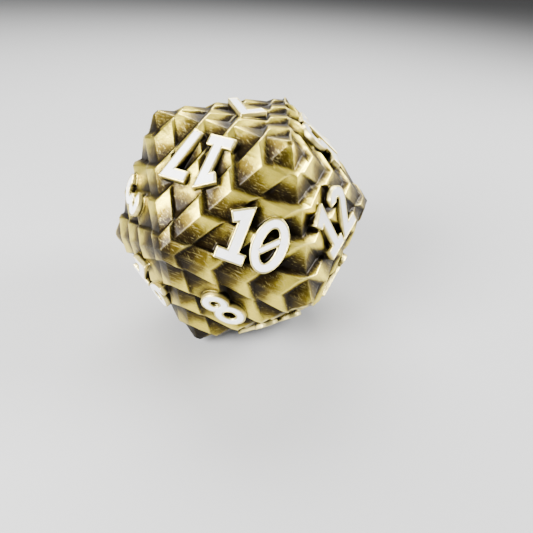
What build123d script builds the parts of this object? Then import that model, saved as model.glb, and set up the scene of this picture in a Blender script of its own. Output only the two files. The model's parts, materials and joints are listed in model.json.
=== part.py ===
"""Twenty-sided die: one cast metal body covered in overlapping scales, with
raised numerals whose recessed tops are filled with hard white enamel.

Frame: millimetres, +Z up.  The die stands on its face 14 with face 7 on top,
and the origin is the point of the table straight below the die's centre.
"""
from math import cos, degrees, radians, sin, sqrt
import os

from build123d import *

os.makedirs("parts", exist_ok=True)

# ---------------------------------------------------------------- dimensions
ACROSS_NUMERALS = 22.0   # top of numeral 7 to the table, the size a die is sold by
NUMERAL_TOP = 1.05       # top of a numeral above the face plane
NUMERAL_ROOT = 0.60      # depth of a numeral's foot below the face plane

SCALE_ROWS = 4.20        # scale pitches along one edge of the icosahedron
WHOLE_ROWS = 4           # rows of whole scales; one more row makes the ridge
FIRST_TIP = 0.37         # first scale tip from the source corner, in pitches
TIP_DRIFT = 0.08         # sideways drift of the tips from row to row, in pitches
SCALE_RISE = 0.55        # height that a scale gains over one pitch
EDGE_LEAN = 0.65         # the same across the rows next to an edge, in rises
SCALE_DRAFT = 40         # slope of the risers between scales, degrees off upright
RISER_RUN = 0.17         # length of a riser seen from above, in pitches
SCALE_DEPTH = 1.40       # thickness of a scale block below its facet
SCALE_REACH = 1.40       # length of a scale block behind its tip, in pitches
RIDGE_TO_SINK = 1.20     # rise of the ridge scales along their edge, per pitch
RIDGE_TO_MID = 0.20      # and towards the other end of that edge
FACE_COVER = 0.03        # core above the face plane, under the lowest scale feet
CORNER_REACH = 12.75     # corners are blunted this far from the die's centre

DIGIT_HEIGHT = 4.70      # over the metal rim
DIGIT_WIDTH = 2.45
STROKE = 0.98            # width of a numeral's stroke over the metal rim
ROUND_STROKE = 0.86      # the same where a digit is a closed ring
SLASH = 0.60             # width of the slash in a nought and of an underline
RIM = 0.14               # metal rim around the enamel
DIGIT_GAP = 0.28         # between the two digits of a number
UNDERLINE_GAP = 0.30     # below a six or a nine
NUMERAL_SHIFT = 0.35     # numerals sit this far below the middle of their face
POCKET_DEPTH = 0.35

# --------------------------------------------------------------- icosahedron
GOLDEN = (1 + sqrt(5)) / 2
INRADIUS = ACROSS_NUMERALS / 2 - NUMERAL_TOP
EDGE = INRADIUS * 12 / (sqrt(3) * (3 + sqrt(5)))
PITCH = EDGE / SCALE_ROWS
CENTRE = Vector(0, 0, ACROSS_NUMERALS / 2)
FACE_SECTOR = (0.8, 1.35)  # span of a face's sector, in distances from centre to face


def corner(azimuth, radius, height):
    """Corner of the icosahedron, measured from the die's centre."""
    turn = radians(azimuth)
    return Vector(radius * cos(turn), radius * sin(turn), height)


NEAR_RING = EDGE / sqrt(3)             # corners of the top and bottom faces
FAR_RING = NEAR_RING * GOLDEN          # the six corners between them
FAR_HEIGHT = INRADIUS / GOLDEN**3
CORNERS = {
    "top_front": corner(-90, NEAR_RING, INRADIUS),
    "top_left": corner(150, NEAR_RING, INRADIUS),
    "top_right": corner(30, NEAR_RING, INRADIUS),
    "upper_left": corner(210, FAR_RING, FAR_HEIGHT),
    "upper_right": corner(-30, FAR_RING, FAR_HEIGHT),
    "upper_back": corner(90, FAR_RING, FAR_HEIGHT),
    "lower_front": corner(-90, FAR_RING, -FAR_HEIGHT),
    "lower_left": corner(150, FAR_RING, -FAR_HEIGHT),
    "lower_right": corner(30, FAR_RING, -FAR_HEIGHT),
    "base_left": corner(210, NEAR_RING, -INRADIUS),
    "base_right": corner(-30, NEAR_RING, -INRADIUS),
    "base_back": corner(90, NEAR_RING, -INRADIUS),
}

# The scales run from the corners early in this list to those late in it.  On a
# face, the earliest corner is the source, where the rows of scales start, and
# the latest is the sink, which the ridge along the opposite edge climbs to.
FLOW = [
    "upper_left", "upper_right", "base_back", "lower_front", "top_right", "top_front",
    "lower_left", "lower_right", "top_left", "upper_back", "base_left", "base_right",
]

# Number of each face, its corners, and the corner that the number's head points
# to.  Opposite faces add up to 21.
FACES = {
    1: ("top_left", "top_right", "upper_back", "top_left"),
    2: ("lower_front", "upper_right", "base_right", "upper_right"),
    3: ("lower_left", "top_left", "upper_left", "upper_left"),
    4: ("lower_right", "base_right", "base_back", "base_back"),
    5: ("upper_right", "top_right", "lower_right", "upper_right"),
    6: ("lower_left", "base_left", "base_back", "base_back"),
    7: ("top_left", "top_right", "top_front", "top_front"),
    8: ("upper_left", "lower_front", "base_left", "upper_left"),
    9: ("upper_back", "lower_left", "base_back", "base_back"),
    10: ("upper_left", "top_front", "lower_front", "top_front"),
    11: ("upper_back", "lower_right", "base_back", "base_back"),
    12: ("top_front", "upper_right", "lower_front", "top_front"),
    13: ("upper_back", "top_right", "lower_right", "lower_right"),
    14: ("base_left", "base_right", "base_back", "base_back"),
    15: ("top_right", "upper_right", "top_front", "upper_right"),
    16: ("lower_left", "upper_left", "base_left", "upper_left"),
    17: ("top_left", "top_front", "upper_left", "upper_left"),
    18: ("upper_right", "lower_right", "base_right", "upper_right"),
    19: ("upper_back", "top_left", "lower_left", "lower_left"),
    20: ("lower_front", "base_left", "base_right", "lower_front"),
}


def face_frame(corners, head):
    """Plane on a face with its origin in the middle, +Y towards the corner `head`."""
    middle = (CORNERS[corners[0]] + CORNERS[corners[1]] + CORNERS[corners[2]]) / 3
    upward = (CORNERS[head] - middle).normalized()
    outward = middle.normalized()
    return Plane(origin=CENTRE + middle, x_dir=upward.cross(outward), z_dir=outward)


# -------------------------------------------------------------------- scales
# A plate of scales is drawn on one face, seen from outside, with its source
# corner at the origin and the middle of the opposite edge on +X.  Places are
# (a, b) in pitches: a along the edge on the +Y side, b along the other one.
HALF_CORNER = radians(30)


def spot(a, b, height=0.0):
    """Point of the plate at lattice place (a, b)."""
    return Vector((a + b) * PITCH * cos(HALF_CORNER), (a - b) * PITCH * sin(HALF_CORNER), height)


def tip_place(row, lane):
    """Lattice place of the raised tip of the scale in this row and lane."""
    return (
        FIRST_TIP + row - 1 + TIP_DRIFT * (lane - 1),
        FIRST_TIP + lane - 1 + TIP_DRIFT * (row - 1),
    )


def foot_place(row, lane):
    """Place of a scale's low corner, at the feet of the scales before it."""
    a = tip_place(row - 1, lane)[0] + RISER_RUN if row > 1 else 0.0
    b = tip_place(row, lane - 1)[1] + RISER_RUN if lane > 1 else 0.0
    return a, b


def scale_block(row, lane, slope_a, slope_b):
    """Facet plane of one scale, origin at its tip, and the facet's four corners."""
    low = foot_place(row, lane)
    high = tip_place(row, lane)
    along_a = spot(1, 0, SCALE_RISE * slope_a)
    along_b = spot(0, 1, SCALE_RISE * slope_b)
    foot = spot(low[0], low[1])
    tip = foot + along_a * (high[0] - low[0]) + along_b * (high[1] - low[1])
    plane = Plane(origin=tip, x_dir=along_a, z_dir=along_b.cross(along_a))
    back_a = tip - along_a * SCALE_REACH
    back_b = tip - along_b * SCALE_REACH
    back = back_a - along_b * SCALE_REACH
    return plane, [plane.to_local_coords(point) for point in (tip, back_a, back, back_b)]


def scale_blocks(sink_sign):
    """Blocks for the whole scales of a face and for the ridge along its far edge."""
    blocks = []
    for row in range(1, WHOLE_ROWS + 2):
        for lane in range(1, WHOLE_ROWS + 3 - row):
            slopes = (1 if row > 1 else EDGE_LEAN, 1 if lane > 1 else EDGE_LEAN)
            if row == lane == 1:
                slopes = (1, 1)
            if row + lane == WHOLE_ROWS + 2 and row > 1 and lane > 1:
                slopes = (RIDGE_TO_SINK, RIDGE_TO_MID)[::sink_sign]
            blocks.append(scale_block(row, lane, *slopes))
    return blocks


# One face's share of the die: the cone from its centre through the three edges.
with BuildPart() as sector:
    for share in FACE_SECTOR:
        with BuildSketch(Plane.XY.offset(INRADIUS * (share - 1))):
            with Locations((NEAR_RING, 0)):
                RegularPolygon(radius=NEAR_RING * share, side_count=3, rotation=180)
    loft()


def scale_plate(sink_sign):
    """Scales of one face with the sink on the +Y (1) or the -Y (-1) side."""
    with BuildPart() as plate:
        for plane, outline in scale_blocks(sink_sign):
            with BuildSketch(plane):
                with BuildLine():
                    Polyline(*outline, close=True)
                make_face()
            extrude(amount=-SCALE_DEPTH, taper=-SCALE_DRAFT)
        add(sector.part, mode=Mode.INTERSECT)
    return plate.part


plates = {sink_sign: scale_plate(sink_sign) for sink_sign in (1, -1)}


def placed_plate(corners):
    """The right plate of scales, put on the face with these three corners."""
    source, mid, sink = sorted(corners, key=FLOW.index)
    outward = CORNERS[source] + CORNERS[mid] + CORNERS[sink]
    along = (CORNERS[mid] + CORNERS[sink]) / 2 - CORNERS[source]
    plane = Plane(origin=CENTRE + CORNERS[source], x_dir=along, z_dir=outward)
    sink_sign = 1 if plane.y_dir.dot(CORNERS[sink] - CORNERS[source]) > 0 else -1
    return plates[sink_sign].moved(plane.location)


# ------------------------------------------------------------------ numerals
# A digit is drawn around the middle of its own box.  TOP and SIDE are the
# centre lines of its outermost strokes.  `rim` draws every stroke in by that
# much on all sides, which gives the enamel inside a metal rim.
TOP = (DIGIT_HEIGHT - STROKE) / 2
SIDE = (DIGIT_WIDTH - STROKE) / 2
HEAD = DIGIT_HEIGHT / 2


def ring(rim, middle, width, height, thick=STROKE):
    """Elliptical ring of one stroke, `width` by `height` over the outside."""
    with BuildSketch() as mark:
        with Locations((0, middle)):
            Ellipse(width / 2 - rim, height / 2 - rim)
            Ellipse(width / 2 - thick + rim, height / 2 - thick + rim, mode=Mode.SUBTRACT)
    return mark.sketch


def stroke(rim, *points, width=STROKE):
    """Straight strokes through these points, mitred where they meet."""
    places = [Vector(*point) for point in points]
    places[0] += (places[1] - places[0]).normalized() * rim
    places[-1] += (places[-2] - places[-1]).normalized() * rim
    with BuildSketch() as mark:
        with BuildLine():
            Polyline(*places)
        trace(line_width=width - 2 * rim)
    return mark.sketch


def bow(rim, middle, radius, start, sweep):
    """Round stroke, by the angle where it starts and the angle that it turns."""
    trim = degrees(rim / radius)
    with BuildSketch() as mark:
        with BuildLine():
            CenterArc(middle, radius, start + trim, sweep - 2 * trim)
        trace(line_width=STROKE - 2 * rim)
    return mark.sketch


def draw_0(rim):
    yield ring(rim, 0, DIGIT_WIDTH * 1.22, DIGIT_HEIGHT, ROUND_STROKE)
    yield stroke(rim, (-SIDE, -TOP * 0.40), (SIDE, TOP * 0.40), width=SLASH)


def draw_1(rim):
    stem = SIDE * 0.18
    yield stroke(rim, (-SIDE * 1.30, TOP * 0.62), (stem, TOP * 0.94), (stem, -HEAD))
    yield stroke(rim, (-DIGIT_WIDTH / 2, -TOP), (DIGIT_WIDTH / 2, -TOP))


def draw_2(rim):
    trim = degrees(rim / SIDE)
    with BuildSketch() as mark:
        with BuildLine():
            neck = CenterArc((0, TOP - SIDE), SIDE, 175 - trim, trim - 205)
            Polyline(neck @ 1, (-SIDE, -TOP), (DIGIT_WIDTH / 2 - rim, -TOP))
        trace(line_width=STROKE - 2 * rim)
    yield mark.sketch


def draw_3(rim):
    yield bow(rim, (0, TOP * 0.52), TOP * 0.48, -90, 245)
    yield bow(rim, (0, -TOP * 0.48), TOP * 0.52, -155, 245)


def draw_4(rim):
    stem = SIDE * 0.55
    bar = -TOP * 0.42
    yield stroke(rim, (stem, HEAD), (stem, -HEAD))
    yield stroke(rim, (stem, TOP), (-SIDE * 1.2, bar), (DIGIT_WIDTH / 2, bar), width=ROUND_STROKE * 0.9)


def draw_5(rim):
    bowl = TOP * 0.57
    yield stroke(rim, (DIGIT_WIDTH / 2, TOP), (-SIDE, TOP), (-SIDE, 0))
    yield bow(rim, (SIDE - bowl, bowl - TOP), bowl, -142, 267)


def draw_6(rim):
    bowl = DIGIT_HEIGHT * 0.30
    tail = TOP * 1.95
    yield ring(rim, bowl - HEAD, DIGIT_WIDTH * 1.12, 2 * bowl, ROUND_STROKE)
    yield bow(rim, (tail - SIDE * 1.10, bowl - HEAD), tail, 130, 43)


def draw_7(rim):
    yield stroke(rim, (-DIGIT_WIDTH / 2, TOP), (SIDE, TOP), (-SIDE * 0.45, -HEAD))


def draw_8(rim):
    upper = DIGIT_HEIGHT * 0.27
    lower = DIGIT_HEIGHT * 0.31
    yield ring(rim, HEAD - upper, DIGIT_WIDTH * 1.00, 2 * upper, ROUND_STROKE)
    yield ring(rim, lower - HEAD, DIGIT_WIDTH * 1.14, 2 * lower, ROUND_STROKE)


DRAWINGS = {
    "0": draw_0, "1": draw_1, "2": draw_2, "3": draw_3, "4": draw_4,
    "5": draw_5, "6": draw_6, "7": draw_7, "8": draw_8, "9": draw_6,
}


def digit_outline(digit, rim):
    """Outline of one digit; a nine is a six turned round."""
    with BuildSketch() as outline:
        with Locations(Rotation(0, 0, 180 if digit == "9" else 0)):
            for mark in DRAWINGS[digit](rim):
                add(mark)
    return outline.sketch


def number_outline(number, rim=0.0):
    """Outline of a number, drawn in by `rim`; six and nine are underlined."""
    digits = str(number)
    step = DIGIT_WIDTH + DIGIT_GAP
    with BuildSketch() as outline:
        for index, digit in enumerate(digits):
            with Locations(((index - (len(digits) - 1) / 2) * step, -NUMERAL_SHIFT)):
                add(digit_outline(digit, rim))
        if digits in ("6", "9"):
            with Locations((0, -NUMERAL_SHIFT - HEAD - UNDERLINE_GAP - SLASH / 2)):
                Rectangle(DIGIT_WIDTH - 2 * rim, SLASH - 2 * rim)
    return outline.sketch


# -------------------------------------------------------------------- pieces
with BuildPart() as die_body:
    with Locations(CENTRE):
        Sphere(radius=2 * INRADIUS)
    for corners in FACES.values():
        face = face_frame(corners[:3], corners[3])
        split(bisect_by=face.offset(FACE_COVER), keep=Keep.BOTTOM)
    add([placed_plate(corners[:3]) for corners in FACES.values()])
    with Locations(CENTRE):
        Sphere(radius=CORNER_REACH, mode=Mode.INTERSECT)
    for number, corners in FACES.items():
        face = face_frame(corners[:3], corners[3])
        with BuildSketch(face.offset(-NUMERAL_ROOT)):
            add(number_outline(number))
        extrude(amount=NUMERAL_ROOT + NUMERAL_TOP)
    for number, corners in FACES.items():
        face = face_frame(corners[:3], corners[3])
        with BuildSketch(face.offset(NUMERAL_TOP)):
            add(number_outline(number, RIM))
        extrude(amount=-POCKET_DEPTH, mode=Mode.SUBTRACT)

die_body.part.label = "die_body"
export_step(die_body.part, "parts/die_body.step")

for number, corners in FACES.items():
    face = face_frame(corners[:3], corners[3])
    with BuildPart() as enamel:
        with BuildSketch(face.offset(NUMERAL_TOP)):
            add(number_outline(number, RIM))
        extrude(amount=-POCKET_DEPTH)
    enamel.part.label = f"enamel_{number:02d}"
    export_step(enamel.part, f"parts/enamel_{number:02d}.step")
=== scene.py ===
"""Looks for the twenty-sided metal die: antique brass with worn edges, and dark recesses of patina
and painted shade, and glossy white enamel in the numerals, on a pale floor in soft studio light."""

import json
from itertools import combinations
from math import cos, radians, sin, sqrt

import bmesh
import bpy
from mathutils import Euler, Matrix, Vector


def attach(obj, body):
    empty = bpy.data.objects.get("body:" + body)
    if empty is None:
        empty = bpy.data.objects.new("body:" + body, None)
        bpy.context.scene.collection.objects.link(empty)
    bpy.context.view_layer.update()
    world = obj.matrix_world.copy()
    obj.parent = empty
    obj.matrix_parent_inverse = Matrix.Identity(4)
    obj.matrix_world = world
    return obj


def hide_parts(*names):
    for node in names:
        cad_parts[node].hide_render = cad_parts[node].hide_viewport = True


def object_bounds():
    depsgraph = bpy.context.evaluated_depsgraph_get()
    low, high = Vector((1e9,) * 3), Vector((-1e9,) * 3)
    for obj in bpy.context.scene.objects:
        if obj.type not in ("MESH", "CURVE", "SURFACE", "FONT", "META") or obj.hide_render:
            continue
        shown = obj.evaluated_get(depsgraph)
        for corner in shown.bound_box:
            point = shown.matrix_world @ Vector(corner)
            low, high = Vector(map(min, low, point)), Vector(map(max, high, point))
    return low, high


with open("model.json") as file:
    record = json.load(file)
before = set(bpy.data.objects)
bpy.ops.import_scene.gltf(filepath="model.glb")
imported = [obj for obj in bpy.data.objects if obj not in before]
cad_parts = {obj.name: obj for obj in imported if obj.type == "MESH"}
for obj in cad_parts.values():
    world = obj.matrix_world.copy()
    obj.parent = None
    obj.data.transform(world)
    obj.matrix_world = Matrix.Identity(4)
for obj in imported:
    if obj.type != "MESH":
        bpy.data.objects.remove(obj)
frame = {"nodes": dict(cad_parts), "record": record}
cad_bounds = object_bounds()

# Sizes in metres.
DIE_HEIGHT = 0.022          # face to face, over the numerals
NUMERAL_TOP = 0.00105       # top of a numeral above the face plane
SCALE_TOP = 0.00095         # where the relief counts as high, above the face plane

VOXEL = 0.00006             # grain of the worn casting's mesh
WEAR_PASSES = 2             # smoothing passes that round its edges
KEPT_FACES = 0.10           # share of its faces kept, fewest where the metal is flat
ENAMEL_ROUNDING = 0.00006   # width of the bevel on the enamel's edges
SAME_PLACE = 1e-7           # mesh corners closer than this are joined

CREASE_REACH = 0.0013       # how far patina and painted shade gather from a crease
VALLEY_REACH = 0.0040       # and from the taller metal around it
EDGE_REACH = 0.00024        # how far an edge is worn bright
SCRATCH = (0.0034, 0.00010, 0.00010)    # length and widths of a scratch
SCRATCH_TURNS = ((0.5, 0.9, 0.4), (0.2, -0.7, 1.9), (1.3, 0.3, -0.8))
SCRATCH_DEPTH = 0.00004


# ------------------------------------------------------------------ materials
def new_material(name):
    """Empty node material and a function that adds a node to it and sets its inputs."""
    material = bpy.data.materials.new(name)
    material.use_nodes = True
    tree = material.node_tree
    tree.nodes.clear()

    def add(kind, links=(), **settings):
        node = tree.nodes.new(kind)
        inputs = settings.pop("inputs", {})
        for key, value in settings.items():
            setattr(node, key, value)
        for key, value in inputs.items():
            node.inputs[key].default_value = value
        for key, source in links:
            tree.links.new(source, node.inputs[key])
        return node

    return material, add


def ramp(add, source, stops):
    """Colour ramp from (position, colour) pairs; colours are RGB or one grey."""
    node = add("ShaderNodeValToRGB", [("Fac", source)])
    elements = node.color_ramp.elements
    for index, (position, colour) in enumerate(stops):
        element = elements[index] if index < 2 else elements.new(position)
        element.position = position
        rgb = colour if isinstance(colour, tuple) else (colour,) * 3
        element.color = (*rgb, 1)
    return node.outputs["Color"]


def mix(add, factor, a, b, blend="MIX"):
    """Mix of two colours, each a socket or an RGB tuple."""
    node = add("ShaderNodeMix", data_type="RGBA", blend_type=blend)
    tree = node.id_data
    for key, value in ((0, factor), (6, a), (7, b)):
        if isinstance(value, tuple):
            node.inputs[key].default_value = (*value, 1)
        elif isinstance(value, (int, float)):
            node.inputs[key].default_value = value
        else:
            tree.links.new(value, node.inputs[key])
    return node.outputs[2]


def math_node(add, operation, *terms, **settings):
    """Output of a maths node; each term is a socket or a number."""
    links = [(index, term) for index, term in enumerate(terms) if not isinstance(term, float)]
    numbers = {index: term for index, term in enumerate(terms) if isinstance(term, float)}
    return add("ShaderNodeMath", links, operation=operation, inputs=numbers, **settings).outputs[0]


def noise(add, place, scale, **inputs):
    """Noise around a place, as a socket."""
    inputs = {key.capitalize(): value for key, value in inputs.items()}
    return add("ShaderNodeTexNoise", [("Vector", place)], inputs={"Scale": scale, **inputs}).outputs["Fac"]


def across(add, vector, axis):
    """Length of a vector along an axis, whichever way it points."""
    along = add("ShaderNodeVectorMath", [(0, vector)], operation="DOT_PRODUCT", inputs={1: axis})
    return math_node(add, "ABSOLUTE", along.outputs["Value"])


def occlusion(add, distance, **settings):
    """How open a point is, within a distance."""
    node = add("ShaderNodeAmbientOcclusion", samples=8, inputs={"Distance": distance}, **settings)
    return node.outputs["AO"]


def face_axes():
    """Directions of the ten pairs of opposite faces, with one pair level on the floor."""
    golden = (1 + sqrt(5)) / 2
    corners = []
    for start, radius, height in ((30, 1, golden**2 / 2), (90, golden, 1 / (2 * golden))):
        for angle in (radians(start + turn) for turn in (0, 120, 240)):
            place = Vector((radius * cos(angle), radius * sin(angle), height))
            corners += [place, -place]
    reach = min((a - b).length for a, b in combinations(corners, 2)) * 1.01
    axes = []
    for trio in combinations(corners, 3):
        if all((a - b).length < reach for a, b in combinations(trio, 2)):
            axis = sum(trio, Vector()).normalized()
            if all(abs(axis.dot(other)) < 0.99 for other in axes):
                axes.append(axis)
    return axes


def relief_height(add, place):
    """How high a point lies in the relief: 0 on the face planes, 1 at the tips of the scales."""
    centre = (0, 0, DIE_HEIGHT / 2)
    centred = add("ShaderNodeVectorMath", [(0, place)], operation="SUBTRACT", inputs={1: centre})
    furthest = None
    for axis in face_axes():
        distance = across(add, centred.outputs["Vector"], axis)
        furthest = math_node(add, "MAXIMUM", distance, furthest) if furthest else distance
    face_plane = DIE_HEIGHT / 2 - NUMERAL_TOP
    height = add("ShaderNodeMapRange", [("Value", furthest)], inputs={
        "From Min": face_plane, "From Max": face_plane + SCALE_TOP,
    })
    return height.outputs["Result"]


def rubbed_back_with_painted_shade(add, place):
    """How far the patina is worn off, with painted shade from occlusion: least in low creases, most on
    high open faces.
    """
    # Painted shade: occlusion darkens creases and hollows in the colour, on top of the patina kept there.
    openness_for_patina_and_shade = math_node(add, "MULTIPLY", occlusion(add, CREASE_REACH), occlusion(add, VALLEY_REACH))
    reached = math_node(add, "MULTIPLY_ADD", relief_height(add, place), 0.80, 0.20)
    handled_and_unshaded = math_node(add, "MULTIPLY", openness_for_patina_and_shade, reached)
    cloud = noise(add, place, 420.0, detail=6.0, roughness=0.65)
    uneven = math_node(add, "MULTIPLY_ADD", cloud, 0.36, -0.18)
    return math_node(add, "ADD", handled_and_unshaded, uneven, use_clamp=True)


def scratches(add, place):
    """Long thin noise in several directions; each set fades on the facets that it would pierce."""
    normal = add("ShaderNodeNewGeometry").outputs["True Normal"]
    strongest = None
    for turn in SCRATCH_TURNS:
        squeeze = add("ShaderNodeMapping", [("Vector", place)], vector_type="TEXTURE", inputs={
            "Rotation": turn, "Scale": SCRATCH,
        })
        lines = noise(add, squeeze.outputs["Vector"], 1.0, detail=1.0)
        piercing = across(add, normal, Euler(turn).to_matrix().col[0])
        lying = ramp(add, piercing, [(0.35, 1.0), (0.60, 0.0)])
        lines = math_node(add, "MULTIPLY", lines, lying)
        strongest = math_node(add, "MAXIMUM", lines, strongest) if strongest else lines
    return strongest


def antique_brass():
    material, add = new_material("antique_brass")
    place = add("ShaderNodeTexCoord").outputs["Object"]
    rubbed_and_unshaded = rubbed_back_with_painted_shade(add, place)
    hairs = scratches(add, place)

    # Recesses keep their dark patina and also get painted shade; open faces are worn back to brass.
    patina_and_painted_shade = ramp(add, rubbed_and_unshaded, [
        (0.12, (0.005, 0.003, 0.001)),
        (0.33, (0.016, 0.010, 0.003)),
        (0.46, (0.135, 0.094, 0.008)),
        (0.59, (0.980, 0.800, 0.090)),
    ])

    # Outer edges are worn bright, and so are scratches, wherever a hand reaches them.
    edge = ramp(add, occlusion(add, EDGE_REACH, inside=True, only_local=True), [(0.62, 1.0), (0.92, 0.0)])
    scratch = ramp(add, hairs, [(0.60, 0.0), (0.78, 0.32)])
    worn = mix(add, 1.0, edge, scratch, "LIGHTEN")
    reachable = ramp(add, rubbed_and_unshaded, [(0.16, 0.0), (0.46, 1.0)])
    base = mix(add, mix(add, 1.0, worn, reachable, "MULTIPLY"), patina_and_painted_shade, (1.0, 0.85, 0.30))
    streaks = ramp(add, hairs, [(0.30, 0.86), (0.60, 1.0)])
    colour = mix(add, 1.0, base, streaks, "MULTIPLY")

    # Clean brass is smoother than patina; scratches and casting grain show in the shine.
    roughness = ramp(add, rubbed_and_unshaded, [(0.10, 0.62), (0.60, 0.34)])
    bump = add("ShaderNodeBump", [("Height", hairs)], inputs={
        "Strength": 0.30, "Distance": SCRATCH_DEPTH,
    })
    pits = noise(add, place, 2600.0, detail=3.0, roughness=0.6)
    grain = add("ShaderNodeBump", [("Height", pits), ("Normal", bump.outputs["Normal"])], inputs={
        "Strength": 0.22, "Distance": SCRATCH_DEPTH,
    })
    shader = add("ShaderNodeBsdfPrincipled", [
        ("Base Color", colour), ("Roughness", roughness), ("Normal", grain.outputs["Normal"]),
    ], inputs={"Metallic": 1.0, "Coat Weight": 0.12, "Coat Roughness": 0.20})
    add("ShaderNodeOutputMaterial", [("Surface", shader.outputs["BSDF"])])
    return material


def white_enamel():
    """Glossy white, a little dusty, with a slightly wavy surface."""
    material, add = new_material("white_enamel")
    place = add("ShaderNodeTexCoord").outputs["Object"]
    dust = noise(add, place, 700.0, detail=5.0, roughness=0.6)
    colour = ramp(add, dust, [(0.30, (0.80, 0.80, 0.79)), (0.55, (0.93, 0.93, 0.92))])
    wave = noise(add, place, 900.0, detail=1.0)
    bump = add("ShaderNodeBump", [("Height", wave)], inputs={"Strength": 0.25, "Distance": 0.00006})
    shader = add("ShaderNodeBsdfPrincipled", [
        ("Base Color", colour), ("Normal", bump.outputs["Normal"]),
    ], inputs={"Roughness": 0.20, "Coat Weight": 0.4, "Coat Roughness": 0.08})
    add("ShaderNodeOutputMaterial", [("Surface", shader.outputs["BSDF"])])
    return material


MATERIALS = {"antique_brass": antique_brass(), "white_enamel": white_enamel()}
SLOTS = {part["node"]: part["material_slot"] for part in frame["record"]["subparts"]}
for name, node in frame["nodes"].items():
    node.data.materials.clear()
    node.data.materials.append(MATERIALS[SLOTS[name]])


# --------------------------------------------------------------------- pieces
def joined(source):
    """Copy of a node's mesh with the corners of its faces joined up."""
    mesh = source.data.copy()
    shell = bmesh.new()
    shell.from_mesh(mesh)
    bmesh.ops.remove_doubles(shell, verts=shell.verts, dist=SAME_PLACE)
    shell.to_mesh(mesh)
    shell.free()
    return mesh


def applied(piece):
    """Applies a piece's modifiers, keeps it off the floor and shades it smooth."""
    bpy.context.view_layer.update()
    shaped = piece.evaluated_get(bpy.context.evaluated_depsgraph_get())
    mesh = bpy.data.meshes.new_from_object(shaped)
    piece.modifiers.clear()
    piece.data = mesh
    for vertex in mesh.vertices:
        vertex.co.z = max(vertex.co.z, 0.0)
    mesh.shade_smooth()
    piece.modifiers.new("shade", "WEIGHTED_NORMAL").weight = 80


def piece_for(node_name, piece_name):
    """New piece in place of a CAD node, with the node's own shape and material slot."""
    piece = bpy.data.objects.new(piece_name, joined(frame["nodes"][node_name]))
    bpy.context.scene.collection.objects.link(piece)
    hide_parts(node_name)
    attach(piece, "root")
    return piece


cast = piece_for("die_body", "worn_casting")
grid = cast.modifiers.new("grid", "REMESH")
grid.mode = "VOXEL"
grid.voxel_size = VOXEL
wear = cast.modifiers.new("wear", "SMOOTH")
wear.factor = 0.5
wear.iterations = WEAR_PASSES
thin = cast.modifiers.new("thin", "DECIMATE")
thin.ratio = KEPT_FACES
applied(cast)

for name, node in frame["nodes"].items():
    if SLOTS[name] == "white_enamel":
        node.modifiers.new("join", "WELD").merge_threshold = SAME_PLACE
        edge = node.modifiers.new("edge", "BEVEL")
        edge.width = ENAMEL_ROUNDING
        edge.segments = 2
        edge.limit_method = "ANGLE"
        edge.angle_limit = radians(50)
        edge.use_clamp_overlap = True
        node.modifiers.new("shade", "WEIGHTED_NORMAL").keep_sharp = True


# ------------------------------------------------------------- floor and light
def soft_light(name, place, aim, size, power):
    """White rectangular light of a size and power, turned to face a point."""
    light = bpy.data.lights.new(name, "AREA")
    light.shape = "RECTANGLE"
    light.size, light.size_y = size
    light.energy = power
    lamp = bpy.data.objects.new(name, light)
    lamp.location = place
    lamp.rotation_euler = (Vector(aim) - Vector(place)).to_track_quat("-Z", "Y").to_euler()
    bpy.context.scene.collection.objects.link(lamp)


bpy.ops.mesh.primitive_plane_add(size=2.0, location=(0, 0, 0))
floor = bpy.context.object
floor.name = "floor"
floor_material, add = new_material("floor")
floor_shader = add("ShaderNodeBsdfPrincipled", inputs={
    "Base Color": (0.32, 0.32, 0.32, 1), "Roughness": 0.75,
})
add("ShaderNodeOutputMaterial", [("Surface", floor_shader.outputs["BSDF"])])
floor.data.materials.append(floor_material)

middle = (cad_bounds[0] + cad_bounds[1]) / 2
soft_light("key", (-0.15, -0.03, 0.09), middle, (0.10, 0.10), 1.9)
soft_light("side", (0.14, -0.05, 0.09), middle, (0.08, 0.10), 0.9)
soft_light("top", (0.04, 0.12, 0.16), middle, (0.16, 0.10), 1.2)

world = bpy.data.worlds.new("studio")
world.use_nodes = True
background = world.node_tree.nodes["Background"]
background.inputs["Color"].default_value = (0.80, 0.81, 0.82, 1)
background.inputs["Strength"].default_value = 0.16
bpy.context.scene.world = world

# --------------------------------------------------------------------- camera
camera = bpy.data.cameras.new("camera")
camera.lens = 35.17
camera.sensor_width = 36.0
camera.clip_start = 0.001
view = bpy.data.objects.new("camera", camera)
view.location = (-0.02238, -0.04049, 0.03503)
view.rotation_euler = (radians(57.217), radians(-2.748), radians(-30.651))
bpy.context.scene.collection.objects.link(view)
bpy.context.scene.camera = view
